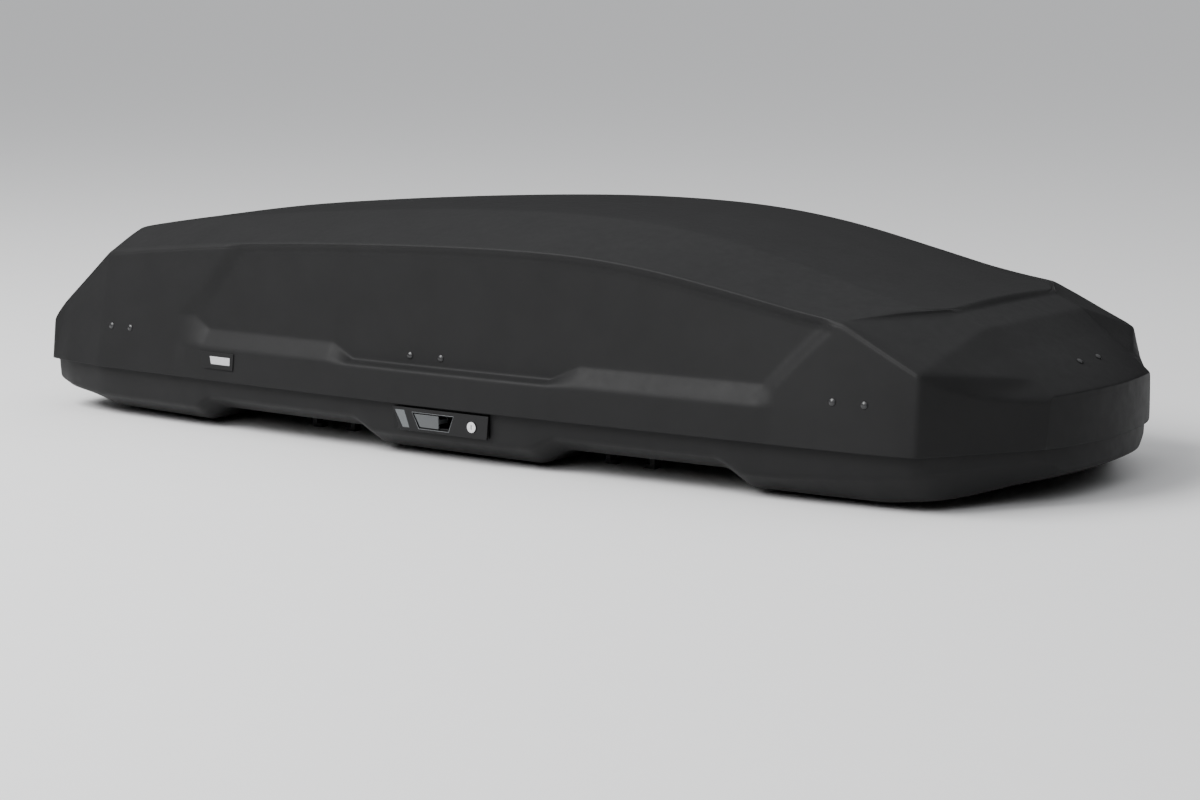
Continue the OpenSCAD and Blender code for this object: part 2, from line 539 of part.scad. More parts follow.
module near_hinge_brackets() far_side() hinge_brackets();
module far_hinge_brackets() hinge_brackets();
module near_hinge_pins() far_side() hinge_pins();
module far_hinge_pins() hinge_pins();
module near_hinge_rail() far_side() hinge_rail();
module far_hinge_rail() hinge_rail();
module near_lock_bar() far_side() lock_bar();
module far_lock_bar() lock_bar();
module near_strikers() far_side() strikers();
module far_strikers() strikers();
module near_strut_tubes() far_side() strut_tubes();
module far_strut_tubes() strut_tubes();
module near_strut_rods() far_side() strut_rods();
module far_strut_rods() strut_rods();
module near_strut_feet() far_side() strut_feet();
module far_strut_feet() strut_feet();
module near_handle_housing() handle_housing();
module far_handle_housing() far_side() handle_housing();
module near_reflector() reflector();
module far_reflector() far_side() reflector();
module near_thumb_slider() thumb_slider();
module far_thumb_slider() far_side() thumb_slider();
module near_lock_cylinder() lock_cylinder();
module far_lock_cylinder() far_side() lock_cylinder();
module near_badge_plate() badge_plate(false);
module far_badge_plate() badge_plate(true);

base_shell();
lid_shell();
near_mount_track();
far_mount_track();
clamp_housings();
rear_near_jaw();
rear_far_jaw();
front_near_jaw();
front_far_jaw();
rear_near_knob();
rear_far_knob();
front_near_knob();
front_far_knob();
near_hinge_brackets();
far_hinge_brackets();
near_hinge_pins();
far_hinge_pins();
near_hinge_rail();
far_hinge_rail();
near_lock_bar();
far_lock_bar();
near_strikers();
far_strikers();
near_strut_tubes();
far_strut_tubes();
near_strut_rods();
far_strut_rods();
near_strut_feet();
far_strut_feet();
near_handle_housing();
far_handle_housing();
near_reflector();
far_reflector();
near_thumb_slider();
far_thumb_slider();
near_lock_cylinder();
far_lock_cylinder();
near_badge_plate();
far_badge_plate();
lid_bows();
nose_bracket();
lid_rivets();
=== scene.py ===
"""A roof cargo box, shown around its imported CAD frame.

Lengths in the outlines are in millimetres: station s along the box, growing towards the
nose, distance y from the centre plane and height z over the seam between lid and base.
Meshes are made in metres.
"""

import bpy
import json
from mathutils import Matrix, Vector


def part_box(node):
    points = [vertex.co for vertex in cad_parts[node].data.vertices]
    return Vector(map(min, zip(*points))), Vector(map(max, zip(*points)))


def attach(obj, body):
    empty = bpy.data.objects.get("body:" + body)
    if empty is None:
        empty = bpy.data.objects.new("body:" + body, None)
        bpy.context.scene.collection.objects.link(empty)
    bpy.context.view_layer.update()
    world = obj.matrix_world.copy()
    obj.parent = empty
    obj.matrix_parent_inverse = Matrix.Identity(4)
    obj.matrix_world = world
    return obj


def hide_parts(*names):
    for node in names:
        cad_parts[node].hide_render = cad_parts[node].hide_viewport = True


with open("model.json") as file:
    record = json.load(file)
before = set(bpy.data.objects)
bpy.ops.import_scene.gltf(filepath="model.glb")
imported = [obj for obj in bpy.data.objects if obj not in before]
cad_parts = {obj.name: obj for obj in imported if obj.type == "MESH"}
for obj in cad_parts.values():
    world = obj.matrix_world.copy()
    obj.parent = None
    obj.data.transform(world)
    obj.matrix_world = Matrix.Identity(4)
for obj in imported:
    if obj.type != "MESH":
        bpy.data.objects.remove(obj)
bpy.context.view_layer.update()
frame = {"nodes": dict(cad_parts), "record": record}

import json
import math

import bmesh
import bpy
import numpy as np
from mathutils import Vector

MM = 0.001
NODES = frame["nodes"]
RECORD = frame["record"]

# ---- Stations and sizes of the shells ----
S_TAIL, S_NOSE = -35, 2065
S_MID = 1030
S_HOOD = 1790          # the hood begins beside the top panel
S_HOOD_WHOLE = 1886    # the top panel has run out, and the hood is the roof
S_WEDGE = 1940         # the nose's wedge facet begins
S_BOW = 1880           # the nose begins to bow forward
SEAM_Z = 100
WALL = 3.6
SKIRT_DROP = 4
BASE_LIP = 9
RIM_RISE = 8
NOSE_BOW = 30
BOW_HALF_WIDTH = 190

# The recess along the lid's side: where its two leaning ends begin and how long they are,
# as (at its foot, at its top), and the notch over the handle.
PANEL_DEPTH = 27
PANEL_TOP_DEPTH = 9
PANEL_RISE = [k / 10 for k in range(11)]
RECESS_REAR, RECESS_REAR_LENGTH = (355, 462), (33, 43)
RECESS_FRONT, RECESS_FRONT_LENGTH = (1652, 1752), (30, 23)
PANEL_FOOT, NOTCH_FOOT, REAR_FOOT_RISE = 88, 61, 24
REAR_FOOT_ENDS = (392, 432)
NOTCH_REAR, NOTCH_FRONT = (745, 792), (1234, 1292)
BAND_TOP = 56
BAND_INSET = 5
HOOD_STEP, HOOD_STEP_LENGTH = 7, 50
BAND_SHARE, FOOT_SHARE = 0.62, 0.8       # of the wall's height, where the wall is low
PANEL_MARGIN, MARGIN_SHARE = 14, 0.07    # plain strip over the panel, and its share there
CREASE_SHARE, OVER_SHARE = 0.07, 0.12    # the shoulder crease's place, from ridge to top
SHOULDER_LIFT, CROWN = 1.5, 6            # how far shoulder and roof swell

# The base's slope under the rim, the width of its lower slope, and how far its rim draws in
# at tail and nose.
BASE_DRAFT, BASE_CHAMFER = 4, 48
END_INSET, TAIL_INSET_STOP, NOSE_INSET_START = 7, 80, 1960

# ---- Feature lines: (station, half width) or (station, height over the seam) ----
# Edge over the seam, ridge at the side's top, edge of the top panel, edge of the hood, top
# of the side wall under the wedge facet, and the base's lower edge and floor.
HALF_PLAN = [(-35, 328), (-10, 372), (45, 388), (150, 406), (270, 412), (600, 424), (920, 430),
             (1140, 428), (1390, 418), (1600, 410), (1745, 405), (1850, 399), (1905, 392),
             (1940, 384), (2065, 186)]
RIDGE_Y = [(-35, 312), (-10, 366), (5, 351), (150, 364), (264, 369), (461, 377), (876, 386),
           (1197, 384), (1416, 374), (1558, 368), (1696, 364), (1790, 366), (1940, 378),
           (1980, 290), (2005, 240), (2030, 180), (2065, 178)]
RIDGE_Z = [(-35, 58), (-10, 74), (5, 104), (150, 214), (264, 227), (461, 247), (660, 260),
           (876, 270), (1050, 275), (1197, 276), (1300, 272), (1416, 260), (1558, 236),
           (1696, 211), (1790, 198), (1940, 128), (1980, 120), (2005, 114), (2030, 105.5),
           (2065, 79.3)]
TOP_Y = [(-35, 200), (5, 235), (135, 266), (200, 242), (300, 222), (400, 210), (600, 200),
         (1300, 203), (1500, 208), (1880, 214)]
TOP_Z = [(-35, 62), (5, 110), (135, 252), (165, 258), (300, 277), (400, 287), (500, 296),
         (600, 304), (700, 311), (800, 317), (900, 322), (1000, 325.5), (1100, 326.5),
         (1200, 325), (1300, 320), (1400, 309), (1500, 292), (1600, 269), (1700, 243),
         (1800, 220), (1886, 207)]
HOOD_Y = [(1790, 356), (1886, 177), (1940, 172), (1980, 170), (2030, 167), (2065, 174)]
HOOD_Z = [(1790, 199), (1886, 202), (1940, 180), (1980, 146), (2030, 107.5), (2065, 79.6)]
WEDGE_Y = [(1940, 378), (2000, 282), (2065, 180)]
WEDGE_Z = [(1940, 127), (2000, 92), (2065, 78.5)]
BASE_EDGE_Z = [(-26, -42), (45, -56), (120, -60), (408, -60), (440, -38), (800, -38), (840, -60),
               (1195, -60), (1245, -36), (1570, -36), (1615, -59), (1700, -57), (1900, -39),
               (2056, -26)]
BASE_FLOOR_Z = [(-26, -46), (20, -60), (76, -72), (146, -87), (408, -90), (440, -63), (800, -63),
                (840, -90), (1195, -92), (1245, -63), (1570, -63), (1615, -91), (1860, -91),
                (1967, -79), (2025, -62), (2056, -46)]

SOFT_END, SOFT_GAIN = 3, 42    # rounding along the box at its ends, and more in its middle
PAST_MOUTH = 40                # how far a section runs on past its mouth while rounded

# Offsets and weights of the soft average that rounds the feature lines. They add up to 1.
GAUSS = [(-1.8, 0.065), (-1.1, 0.165), (-0.5, 0.2), (0.0, 0.14), (0.5, 0.2), (1.1, 0.165),
         (1.8, 0.065)]


def mix(a, b, t):
    return a + (b - a) * t


def ramp(s, a, b):
    return np.clip((s - a) / (b - a), 0, 1)


def ease(s, a, b):
    t = ramp(s, a, b)
    return t * t * (3 - 2 * t)


def line(table, s, soft=0.0):
    """The feature line's value at stations s, its kinks rounded over soft millimetres."""
    at = [p[0] for p in table]
    value = [p[1] for p in table]
    return sum(w * np.interp(s + k * soft, at, value) for k, w in GAUSS)


def x_at(s):
    return (s - S_MID) * MM


def bow(s, y):
    """How far a point stands forward of its station on the bowed nose."""
    return NOSE_BOW * ease(s, S_BOW, S_NOSE) * (1 - np.minimum(1, (y / BOW_HALF_WIDTH) ** 2))


def body_softness(s):
    """Rounding along the box: long and gentle over its middle, tight at tail and nose."""
    return SOFT_END + SOFT_GAIN * ease(s, 230, 420) * (1 - ease(s, 1500, 1740))


def recess(s, rise):
    """How far the side's recess has opened; both of its ends lean with the height."""
    start, stop = mix(*RECESS_REAR, rise), mix(*RECESS_FRONT, rise)
    return (ramp(s, start, start + mix(*RECESS_REAR_LENGTH, rise))
            - ramp(s, stop, stop + mix(*RECESS_FRONT_LENGTH, rise)))


def notch(s):
    return ramp(s, *NOTCH_REAR) - ramp(s, *NOTCH_FRONT)


def at_pairs(pairs):
    """Section corners (y, z) at every station, as one array (stations, corners, 2)."""
    return np.stack([np.stack(pair, -1) for pair in pairs], 1)


def lid_half(s):
    """Corner points of half the lid's section at each station: (stations, points, 2)."""
    soft = body_softness(s)
    zero = np.zeros_like(s, dtype=float)
    nose, front, hood = s >= S_WEDGE, s > S_HOOD, s > S_HOOD_WHOLE + 0.5
    edge_y = line(HALF_PLAN, s, soft)
    ridge_y, ridge_z = line(RIDGE_Y, s, soft), line(RIDGE_Z, s, soft)
    wall_y = np.where(nose, line(WEDGE_Y, s), ridge_y)
    wall_z = np.where(nose, line(WEDGE_Z, s), ridge_z)
    low_z = np.minimum(BAND_TOP, BAND_SHARE * wall_z)
    foot_z = (mix(PANEL_FOOT, NOTCH_FOOT, notch(s))
              + REAR_FOOT_RISE * (1 - ramp(s, *REAR_FOOT_ENDS)))
    mid_z = np.minimum(foot_z, FOOT_SHARE * wall_z)
    high_z = wall_z - np.minimum(PANEL_MARGIN, MARGIN_SHARE * wall_z)
    low_y = mix(mix(edge_y, wall_y, low_z / wall_z), edge_y - BAND_INSET, recess(s, 0))
    mid_plain = mix(edge_y, wall_y, mid_z / wall_z)
    high_plain = mix(edge_y, wall_y, high_z / wall_z)
    mid_deep, high_deep = edge_y - PANEL_DEPTH, wall_y - PANEL_TOP_DEPTH
    panel = [(mix(mix(mid_plain, high_plain, rise), mix(mid_deep, high_deep, rise),
                  recess(s, rise)), mix(mid_z, high_z, rise)) for rise in PANEL_RISE]
    high_y = panel[-1][0]
    top_y, top_z = line(TOP_Y, s, soft), line(TOP_Z, s, soft)
    crease_y = np.where(front, line(HOOD_Y, s), mix(ridge_y, top_y, CREASE_SHARE))
    crease_z = np.where(front, line(HOOD_Z, s), mix(ridge_z, top_z, CREASE_SHARE))
    # Steps of about a millimetre keep the corners apart where feature lines meet.
    step = 1 + (HOOD_STEP - 1) * ramp(s, S_HOOD, S_HOOD + HOOD_STEP_LENGTH)
    over_y = np.where(hood | front, crease_y - 3, mix(ridge_y, top_y, OVER_SHARE))
    over_z = np.where(hood, crease_z + 0.7, np.where(front, crease_z + step,
                                                     mix(ridge_z, top_z, OVER_SHARE)))
    crest_y = np.where(hood, over_y * 0.6, np.minimum(top_y, over_y - 12))
    crest_z = np.where(hood, over_z + 1.2, np.maximum(top_z, over_z + 0.5))
    crown_z = crest_z + np.where(hood, 1.2, CROWN * ramp(s, S_TAIL, 300))
    lift = np.where(hood, 0, SHOULDER_LIFT)
    points = [(edge_y, zero - SKIRT_DROP), (low_y, low_z)] + panel + [
              (mix(high_y, ridge_y, 0.5) + 1.5 * recess(s, 1), mix(high_z, ridge_z, 0.5)),
              (ridge_y, ridge_z), (crease_y, crease_z), (over_y, over_z),
              (mix(over_y, crest_y, 0.5), mix(over_z, crest_z, 0.5) + lift),
              (crest_y, crest_z), (crest_y * 0.5, mix(crest_z, crown_z, 0.5) + lift),
              (zero, crown_z)]
    return at_pairs(points)


def base_half(s):
    """Corner points of half the base's section at each station: array (stations, 5, 2)."""
    inset = END_INSET * (1 - ramp(s, S_TAIL, TAIL_INSET_STOP)
                         + ramp(s, NOSE_INSET_START, S_NOSE))
    rim_y = line(HALF_PLAN, s, body_softness(s)) - BASE_LIP - inset
    edge_z, floor_z = line(BASE_EDGE_Z, s), line(BASE_FLOOR_Z, s)
    zero = np.zeros_like(s, dtype=float)
    return at_pairs([(rim_y, zero + RIM_RISE), (rim_y - BASE_DRAFT, edge_z),
                     (rim_y - BASE_CHAMFER, floor_z), (rim_y / 2, floor_z), (zero, floor_z)])


def spread(length, near, coarse):
    """Distances from 0 to length, close together near both ends."""
    ends = [d * min(1, length / (2.6 * near[-1])) for d in near]
    middle = max(1, int((length - 2 * ends[-1]) / coarse))
    inner = [ends[-1] + (length - 2 * ends[-1]) * k / middle for k in range(1, middle)]
    return [0.0] + ends + inner + [length - d for d in reversed(ends)]


def stations(first, last, special, fine, coarse):
    """Stations from first to last, close together near the special ones."""
    out, s = [float(first)], float(first)
    while s < last:
        gap = min(abs(s - k) for k in special + [first, last])
        s += min(coarse, fine + max(0, gap - 3 * fine) * 0.35)
        ahead = [k for k in special if out[-1] < k <= s]
        s = float(ahead[0]) if ahead else s
        out.append(s)
    return np.array([v for v in out if v < last - 0.4 * fine] + [float(last)])


def section_rows(half_at, near=(1.8, 4.0, 7.5), coarse=24):
    """The grid's rows as (corner index, fraction), and the row of each corner."""
    middle = half_at(np.array([float(S_MID)]))[0]
    rows, at_corner = [], []
    for k in range(len(middle) - 1):
        length = max(np.hypot(*(middle[k + 1] - middle[k])), 9)
        at_corner.append(len(rows))
        rows += [(k, min(d / length, 1)) for d in spread(length, near, coarse)]
    at_corner.append(len(rows))
    rows.append((len(middle) - 2, 1.0))
    return np.array([k for k, _ in rows]), np.array([f for _, f in rows]), at_corner


def smooth_grid(half_at, keys, at, rows, soft_u, soft_s):
    """A smooth skin of half a shell: points (stations, rows, 3), from mouth to middle.

    half_at gives the section's corners, and keys are the stations where it is worked out.
    soft_u has the rounding at each corner, and soft_s the rounding along the box, in mm.
    """
    index, fraction, _ = rows
    profile = half_at(keys)
    softness = np.interp(index + fraction, range(profile.shape[1]), soft_u)
    out = np.zeros((len(at), len(index), 3))
    for row, s in enumerate(at):
        room = min(s - keys[0], keys[-1] - s) / 2
        for k, w in GAUSS:
            t = s + k * min(soft_s, room)
            i = int(np.clip(np.searchsorted(keys, t) - 1, 0, len(keys) - 2))
            p = mix(profile[i], profile[i + 1], (t - keys[i]) / (keys[i + 1] - keys[i]))
            down = (p[0] - p[1]) / np.hypot(*(p[0] - p[1]))
            below = p[0] + down * PAST_MOUTH
            # The section runs on past its mouth, and is mirrored past the centre plane.
            full = np.vstack([below, p, p[-2:-4:-1] * [-1, 1]])
            arc = np.concatenate([[0], np.cumsum(np.hypot(*np.diff(full, axis=0).T))])
            base = arc[index + 1] + fraction * (arc[index + 2] - arc[index + 1])
            for m, v in GAUSS:
                y = np.interp(base + m * softness, arc, full[:, 0])
                z = np.interp(base + m * softness, arc, full[:, 1])
                out[row] += w * v * np.stack([t + bow(t, y), y, z], -1)
    out[:, 0, 2] = profile[0, 0, 1]
    out[:, -1, 1] = 0
    return out


def cap_grid(ring, corner):
    """An end wall inside the end ring: rows by the side's points, columns by the top's."""
    side, top = ring[:corner + 1], ring[corner:]
    reach = top[:, 1] / top[0, 1]
    height = (side[:, 2] - side[0, 2]) / (side[-1, 2] - side[0, 2])
    out = np.zeros((len(side), len(top), 3))
    out[:, :, 1] = side[:, 1][:, None] * reach
    out[:, :, 2] = side[:, 2][:, None] + height[:, None] * (top[:, 2] - top[0, 2])
    out[:, :, 0] = ring[-1, 0]
    if ring[-1, 0] > S_MID:
        out[:, :, 0] += bow(S_NOSE, out[:, :, 1]) - bow(S_NOSE, 0)
    out[:, 0], out[-1] = side, top
    return out


def new_object(name, points, faces):
    """A mesh object from points in metres, its faces turned outwards."""
    mesh = bpy.data.meshes.new(name)
    mesh.from_pydata([tuple(p) for p in points], [], [tuple(f) for f in faces])
    obj = bpy.data.objects.new(name, mesh)
    bpy.context.scene.collection.objects.link(obj)
    bm = bmesh.new()
    bm.from_mesh(mesh)
    bmesh.ops.recalc_face_normals(bm, faces=bm.faces)
    bm.to_mesh(mesh)
    bm.free()
    return obj


class Skin:
    """Collects grids of points in millimetres into one welded, mirrored mesh."""

    def __init__(self):
        self.points, self.weights, self.faces, self.count = [], [], [], 0

    def grid(self, g, weight=None):
        """Adds a grid of points and its mirror image. weight says where edges are rounded."""
        rows, cols = g.shape[:2]
        weight = np.zeros((rows, cols)) if weight is None else weight
        i, j = np.meshgrid(range(rows - 1), range(cols - 1), indexing="ij")
        a = (i * cols + j).ravel()
        quads = np.stack([a, a + 1, a + cols + 1, a + cols], -1)
        for side in (1, -1):
            self.points.append(g.reshape(-1, 3) * [1, side, 1])
            self.weights.append(weight.ravel())
            self.faces.append(quads[:, ::side] + self.count)
            self.count += rows * cols

    def rounded(self, mouth, rounds):
        """The welded points and faces, with weighted creases rounded off."""
        points, weight = np.vstack(self.points), np.concatenate(self.weights)
        faces = np.vstack(self.faces)
        _, first, inverse = np.unique(np.round(points, 2), axis=0, return_index=True,
                                      return_inverse=True)
        inverse = inverse.ravel()
        points = points[first]
        strongest = np.zeros(len(points))
        np.maximum.at(strongest, inverse, weight)
        faces = inverse[faces]
        a, b = faces.ravel(), np.roll(faces, -1, axis=1).ravel()
        degree = np.bincount(a, minlength=len(points)) + np.bincount(b, minlength=len(points))
        held = np.abs(points[:, 2] - mouth) < 0.01
        for _ in range(rounds):
            total = np.zeros_like(points)
            np.add.at(total, a, points[b])
            np.add.at(total, b, points[a])
            move = strongest[:, None] * 0.5 * (total / degree[:, None] - points)
            move[held, 2] = 0
            points = points + move
        return points, faces

    def object(self, name, mouth, rounds=14):
        """The finished skin as a Blender object in the shared frame."""
        points, faces = self.rounded(mouth, rounds)
        points = (points + [-S_MID, 0, SEAM_Z]) * MM
        whole = [dict.fromkeys(f) for f in faces.tolist() if len(set(f)) > 2]
        return new_object(name, points.tolist(), whole)


def edge_weight(reach, band=9.0):
    """Full rounding at an edge, fading out over the band beside it."""
    return np.clip(1.2 - reach / band, 0, 1)


def end_weight(grid):
    """Rounding near both ends of a body grid."""
    s = np.broadcast_to(grid[:, -1:, 0], grid.shape[:2])
    return edge_weight(np.minimum(np.abs(s - s[0, 0]), np.abs(s - s[-1, 0])))


def border_weight(cap):
    """Rounding near the side and top edges of an end wall."""
    side = np.abs(cap[:, :1, 1] - cap[:, :, 1])
    top = np.abs(cap[-1:, :, 2] - cap[:, :, 2])
    return edge_weight(np.minimum(side, top))


def make_shell(name, half_at, ends, special, soft_u, soft_s, corner, shift):
    """A shell of an outer and an inner skin, two end walls and a flat mouth.

    special are the stations where the feature lines turn, corner is where the end walls
    fold from side to top, and shift says which way each corner goes through the wall.
    """
    rows = section_rows(half_at)
    keys = stations(*ends, special, 2.0, 9.0)
    at = stations(*ends, special, 2.5, 20.0)
    length = ends[1] - ends[0]

    def inner_half(s):
        inner = half_at(s) - WALL * np.array(shift)
        inner[:, 0, 1] = half_at(s)[:, 0, 1]
        return inner

    outer = smooth_grid(half_at, keys, at, rows, soft_u, soft_s)
    at_inside = ends[0] + WALL + (at - ends[0]) * (length - 2 * WALL) / length
    inner = smooth_grid(inner_half, keys, at_inside, rows, [u + 2 for u in soft_u], soft_s + 2)
    skin, caps = Skin(), []
    for g in (outer, inner):
        skin.grid(g, end_weight(g))
        caps.append([cap_grid(g[end], rows[2][corner]) for end in (0, -1)])
        for cap in caps[-1]:
            skin.grid(cap, border_weight(cap))
    skin.grid(np.stack([outer[:, 0], inner[:, 0]]))
    for out_cap, in_cap in zip(*caps):
        skin.grid(np.stack([out_cap[0], in_cap[0]]))
    return skin.object(name, outer[0, 0, 2])


# ---- Materials ----
def node_material(name, color, rough, metal=0.0, grain=900.0, bump=0.15, depth=0.0002,
                  mottle=0.12, rough_spread=0.08, specular=0.5, coat=0.0):
    """A procedural finish: mottled colour, uneven roughness and a moulded or drawn grain."""
    mat = bpy.data.materials.new(name)
    mat.use_nodes = True
    tree = mat.node_tree
    shader = tree.nodes["Principled BSDF"]
    shader.inputs["Metallic"].default_value = metal
    shader.inputs["Specular IOR Level"].default_value = specular
    shader.inputs["Coat Weight"].default_value = coat
    shader.inputs["Coat Roughness"].default_value = 0.08
    place = tree.nodes.new("ShaderNodeTexCoord")

    def noise(scale, detail=3.0):
        n = tree.nodes.new("ShaderNodeTexNoise")
        n.inputs["Scale"].default_value = scale
        n.inputs["Detail"].default_value = detail
        tree.links.new(place.outputs["Object"], n.inputs["Vector"])
        return n

    def span(source, low, high):
        r = tree.nodes.new("ShaderNodeMapRange")
        r.inputs["To Min"].default_value = low
        r.inputs["To Max"].default_value = high
        tree.links.new(source.outputs["Fac"], r.inputs["Value"])
        return r

    shade = tree.nodes.new("ShaderNodeMix")
    shade.data_type = "RGBA"
    shade.inputs[6].default_value = [c * (1 - mottle) for c in color] + [1]
    shade.inputs[7].default_value = [c * (1 + mottle) for c in color] + [1]
    tree.links.new(noise(14.0).outputs["Fac"], shade.inputs[0])
    tree.links.new(shade.outputs[2], shader.inputs["Base Color"])
    tree.links.new(span(noise(55.0), rough - rough_spread, rough + rough_spread).outputs[0],
                   shader.inputs["Roughness"])
    relief = tree.nodes.new("ShaderNodeBump")
    relief.inputs["Strength"].default_value = bump
    relief.inputs["Distance"].default_value = depth
    tree.links.new(noise(grain, 2.0).outputs["Fac"], relief.inputs["Height"])
    tree.links.new(relief.outputs["Normal"], shader.inputs["Normal"])
    return mat


SHELL = node_material("shell_black", (0.0165, 0.0165, 0.0168), 0.5, grain=700, bump=0.3,
                      specular=0.1)
TRIM = node_material("trim_black", (0.007, 0.007, 0.0075), 0.33, grain=300, bump=0.05,
                     specular=0.25)
CLAMP = node_material("clamp_nylon", (0.013, 0.013, 0.0135), 0.48, grain=900, bump=0.35)
STEEL = node_material("zinc_steel", (0.56, 0.57, 0.59), 0.34, 1.0, grain=420, bump=0.12)
STRUT = node_material("strut_enamel", (0.01, 0.01, 0.01), 0.3, grain=200, bump=0.05, coat=0.3)
ROD = node_material("polished_rod", (0.75, 0.75, 0.76), 0.12, 1.0, grain=150, bump=0.02)
GREY = node_material("slider_grey", (0.075, 0.08, 0.083), 0.42, grain=600, bump=0.2)
LENS = node_material("reflector_grey", (0.105, 0.113, 0.117), 0.25, grain=380, bump=0.8,
                     specular=0.4, coat=0.2)
LOCK = node_material("lock_satin", (0.82, 0.82, 0.83), 0.3, 1.0, grain=240, bump=0.05)
RIM = node_material("window_rim", (0.11, 0.115, 0.12), 0.35, grain=300, bump=0.05)
RIVET = node_material("rivet_black", (0.02, 0.02, 0.021), 0.3, grain=260, bump=0.08,
                      specular=0.5)
BADGE = node_material("badge_light", (0.5, 0.5, 0.51), 0.38, grain=500, bump=0.1)


def finish_piece(obj, body, material, replaces=()):
    """Gives a piece its material and smooth shading, hangs it on its body, and hides the CAD
    nodes it stands for.
    """
    obj.data.materials.clear()
    obj.data.materials.append(material)
    for polygon in obj.data.polygons:
        polygon.use_smooth = True
    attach(obj, body)
    if replaces:
        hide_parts(*replaces)
    return obj


def soften_edges(obj, width, segments):
    """Rounds the piece's sharp edges, as a moulding or a pressing has them."""
    bevel = obj.modifiers.new("Bevel", "BEVEL")
    bevel.width = width * MM
    bevel.segments = segments
    bevel.limit_method = "ANGLE"
    bevel.angle_limit = math.radians(28)
    bevel.use_clamp_overlap = True


def apply_modifiers(obj):
    """Writes the object's modifiers into its mesh."""
    graph = bpy.context.evaluated_depsgraph_get()
    mesh = bpy.data.meshes.new_from_object(obj.evaluated_get(graph))
    obj.modifiers.clear()
    obj.data = mesh


# ---- Shells ----
REAR_END = range(RECESS_REAR[0], RECESS_REAR[1] + RECESS_REAR_LENGTH[1] + 1, 9)
FRONT_END = range(RECESS_FRONT[0], RECESS_FRONT[1] + RECESS_FRONT_LENGTH[1] + 3, 9)
LID_SPECIAL = ([-10, 5, 45, 135, 165] + [*REAR_END] + [*NOTCH_REAR, *NOTCH_FRONT]
               + [*FRONT_END] + [S_HOOD, S_HOOD_WHOLE, S_HOOD_WHOLE + 3, S_WEDGE, 1980, 2030])
LID_SOFT = [1, 5] + [3.5 + 2.5 * rise for rise in PANEL_RISE] + [8, 7, 5, 4, 12, 9, 30, 40]
LID_SHIFT = ([[1, 0], [1, 0.6]] + [[0.9, 0.8 - 0.4 * rise] for rise in PANEL_RISE]
             + [[0.85, 0.6], [0.75, 0.8], [0.5, 0.9], [0.4, 1], [0.2, 1], [0.1, 1], [0, 1],
                [0, 1]])
LID_RIDGE = len(PANEL_RISE) + 3    # the ridge's place among lid_half's corners
lid = make_shell("lid_skin", lid_half, (S_TAIL, S_NOSE), LID_SPECIAL, LID_SOFT, 3.5, LID_RIDGE,
                 LID_SHIFT)
finish_piece(lid, "lid", SHELL, ["lid_shell"])

BASE_SPECIAL = [-10, 45, 120, 408, 440, 800, 840, 1195, 1245, 1570, 1615, 1700, 1860, 1967, 2025]
BASE_SHIFT = [[1, 0], [1, -0.6], [0.4, -1], [0, -1], [0, -1]]
base = make_shell("base_skin", base_half, (S_TAIL + BASE_LIP, S_NOSE - BASE_LIP), BASE_SPECIAL,
                  [1, 7, 9, 12, 12], 7, 2, BASE_SHIFT)
finish_piece(base, "base", SHELL, ["base_shell"])


# ---- Pieces that stand for CAD nodes ----
BODY_OF = {node: body for body, nodes in RECORD["behaviour"]["bodies"].items()
           for node in nodes}


def round_off(obj, width, segments):
    """Rounds the piece's edges, shaded so that its flat faces stay flat to the eye."""
    soften_edges(obj, width, segments)
    for polygon in obj.data.polygons:
        polygon.use_smooth = True
    normals = obj.modifiers.new("Normals", "WEIGHTED_NORMAL")
    normals.keep_sharp = False
    normals.weight = 90
    apply_modifiers(obj)


def moulded(node, material, width):
    """A copy of a CAD node with its coplanar faces joined and its edges rounded."""
    mesh = NODES[node].data.copy()
    obj = bpy.data.objects.new(node + "_moulded", mesh)
    bpy.context.scene.collection.objects.link(obj)
    bm = bmesh.new()
    bm.from_mesh(mesh)
    bmesh.ops.remove_doubles(bm, verts=bm.verts, dist=1e-6)
    bmesh.ops.dissolve_limit(bm, angle_limit=math.radians(0.3), verts=bm.verts,
                             edges=bm.edges)
    bm.to_mesh(mesh)
    bm.free()
    round_off(obj, width, 3)
    return finish_piece(obj, BODY_OF[node], material, [node])


# Material and edge rounding in mm of the nodes whose name has the key in it.
MOULDED = {"track": (STEEL, 0.5), "housings": (CLAMP, 2.0), "jaw": (CLAMP, 1.6),
           "knob": (CLAMP, 1.8), "hinge_brackets": (STEEL, 0.8), "hinge_pins": (STEEL, 0.5),
           "hinge_rail": (STEEL, 0.7), "lock_bar": (STEEL, 0.6), "strikers": (STEEL, 0.7),
           "strut_tubes": (STRUT, 1.2), "strut_rods": (ROD, 0.6), "strut_feet": (STEEL, 0.6),
           "handle_housing": (TRIM, 0.7), "reflector": (LENS, 0.35),
           "thumb_slider": (GREY, 0.8), "lock_cylinder": (LOCK, 0.5),
           "badge_plate": (SHELL, 0.5), "bows": (STEEL, 0.8), "nose_bracket": (STEEL, 0.7),
           "rivets": (RIVET, 0.4)}
for node in list(NODES):
    for key, (material, width) in MOULDED.items():
        if key in node:
            moulded(node, material, width)

# ---- Handle and badge details ----
HANDLE_Y = 425.5
# The window round the slider and the lock's middle, as (station, height over the seam).
SLIDER_WINDOW = [(950, -17), (1042, -17), (1031, -44), (965, -44)]
LOCK_PLACE = (1082, -31)
LOCK_R = 9.5
DETAIL_DEPTH = 0.8


